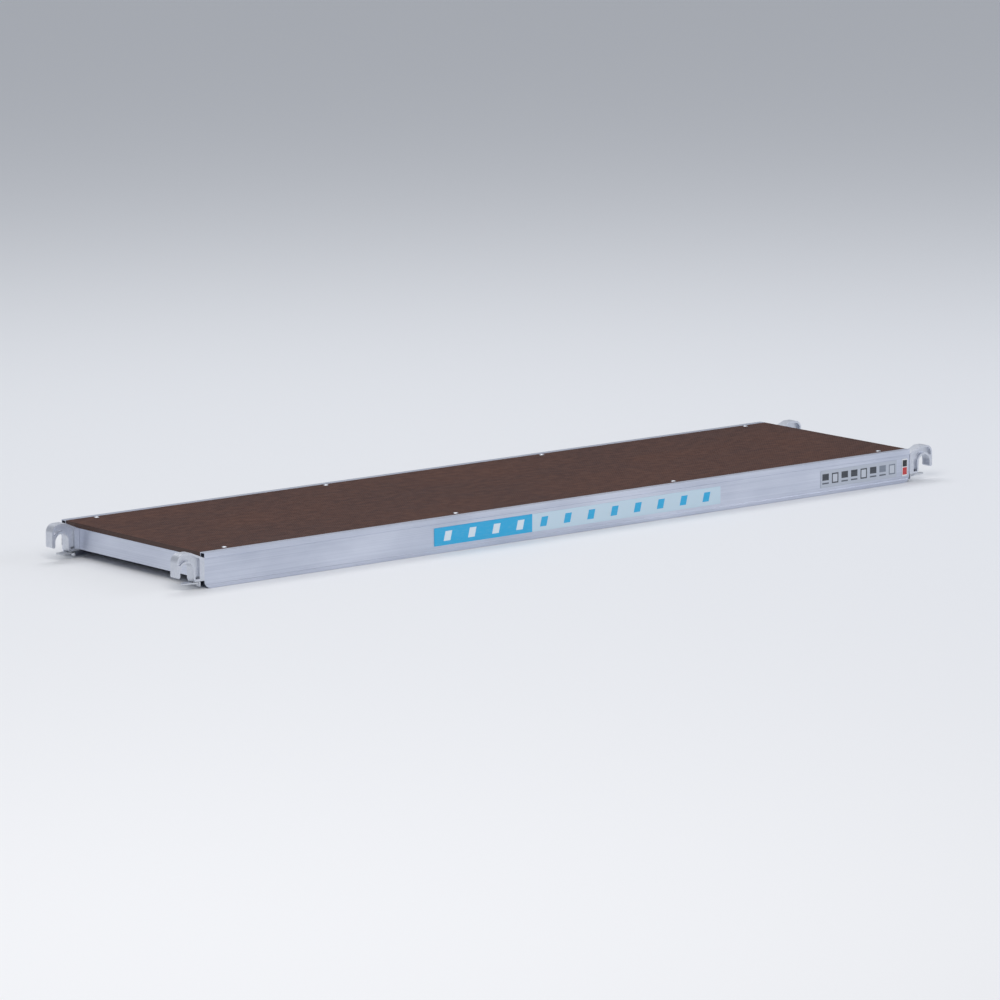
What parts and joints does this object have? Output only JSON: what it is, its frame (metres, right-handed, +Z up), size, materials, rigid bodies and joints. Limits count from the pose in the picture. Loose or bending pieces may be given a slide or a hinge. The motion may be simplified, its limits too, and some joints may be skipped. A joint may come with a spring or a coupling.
{
  "type": "scaffold platform plank",
  "caption": "Framed scaffold deck plank: brown film-faced board in aluminium side rails, with claw hooks at the corners and swivelling catches that lock under the rungs.",
  "frame": {"origin": "middle of the plank in plan, level with the underside of the side rails", "axes": "+X along the plank towards the end at the right of the labelled rail, +Y from the labelled rail to the other, +Z up"},
  "size_m": [2.56, 0.604, 0.095],
  "materials": {
    "rail_aluminium": "extruded, mill finish, dull satin",
    "cast_aluminium": "cast and tumbled, fine grain",
    "film_faced_plywood": "dark brown phenolic film, slip-resistant texture",
    "zinc_plated_steel": "bright zinc plate",
    "rivet_aluminium": "plain, bright",
    "blue_decal": "printed vinyl film",
    "pale_decal": "printed vinyl film"
  },
  "bodies": {
    "frame": {"side_rail_front": "rail_aluminium", "side_rail_back": "rail_aluminium", "deck_board": "film_faced_plywood", "end_beam_left": "rail_aluminium", "end_beam_right": "rail_aluminium", "cross_member_left": "rail_aluminium", "cross_member_centre": "rail_aluminium", "cross_member_right": "rail_aluminium", "deck_rivet_front_1": "rivet_aluminium", "deck_rivet_front_2": "rivet_aluminium", "deck_rivet_front_3": "rivet_aluminium", "deck_rivet_front_4": "rivet_aluminium", "deck_rivet_back_1": "rivet_aluminium", "deck_rivet_back_2": "rivet_aluminium", "deck_rivet_back_3": "rivet_aluminium", "deck_rivet_back_4": "rivet_aluminium", "hook_left_front": "cast_aluminium", "hook_bolt_left_front_lower": "zinc_plated_steel", "bolt_washer_left_front_lower": "zinc_plated_steel", "hook_bolt_left_front_upper": "zinc_plated_steel", "bolt_washer_left_front_upper": "zinc_plated_steel", "wind_lock_rivet_left_front": "zinc_plated_steel", "wind_lock_washer_left_front": "zinc_plated_steel", "hook_left_back": "cast_aluminium", "hook_bolt_left_back_lower": "zinc_plated_steel", "bolt_washer_left_back_lower": "zinc_plated_steel", "hook_bolt_left_back_upper": "zinc_plated_steel", "bolt_washer_left_back_upper": "zinc_plated_steel", "wind_lock_rivet_left_back": "zinc_plated_steel", "wind_lock_washer_left_back": "zinc_plated_steel", "hook_right_front": "cast_aluminium", "hook_bolt_right_front_lower": "zinc_plated_steel", "bolt_washer_right_front_lower": "zinc_plated_steel", "hook_bolt_right_front_upper": "zinc_plated_steel", "bolt_washer_right_front_upper": "zinc_plated_steel", "wind_lock_rivet_right_front": "zinc_plated_steel", "wind_lock_washer_right_front": "zinc_plated_steel", "hook_right_back": "cast_aluminium", "hook_bolt_right_back_lower": "zinc_plated_steel", "bolt_washer_right_back_lower": "zinc_plated_steel", "hook_bolt_right_back_upper": "zinc_plated_steel", "bolt_washer_right_back_upper": "zinc_plated_steel", "wind_lock_rivet_right_back": "zinc_plated_steel", "wind_lock_washer_right_back": "zinc_plated_steel", "decal_strip": "blue_decal", "info_label": "pale_decal", "end_marker": "pale_decal"},
    "left_front_catch": {"wind_lock_left_front": "zinc_plated_steel"},
    "left_back_catch": {"wind_lock_left_back": "zinc_plated_steel"},
    "right_front_catch": {"wind_lock_right_front": "zinc_plated_steel"},
    "right_back_catch": {"wind_lock_right_back": "zinc_plated_steel"}
  },
  "joints": [
    {"name": "left_front_catch_swivel", "type": "hinge", "parent": "frame", "child": "left_front_catch", "pos_m": [-1.21765, -0.288, 0.017], "axis": [0, 0, -1], "range_deg": [0, 90]},
    {"name": "left_back_catch_swivel", "type": "hinge", "parent": "frame", "child": "left_back_catch", "pos_m": [-1.21765, 0.239, 0.017], "axis": [0, 0, 1], "range_deg": [0, 90]},
    {"name": "right_front_catch_swivel", "type": "hinge", "parent": "frame", "child": "right_front_catch", "pos_m": [1.21765, -0.288, 0.017], "axis": [0, 0, 1], "range_deg": [0, 90]},
    {"name": "right_back_catch_swivel", "type": "hinge", "parent": "frame", "child": "right_back_catch", "pos_m": [1.21765, 0.239, 0.017], "axis": [0, 0, -1], "range_deg": [0, 90]}
  ]
}
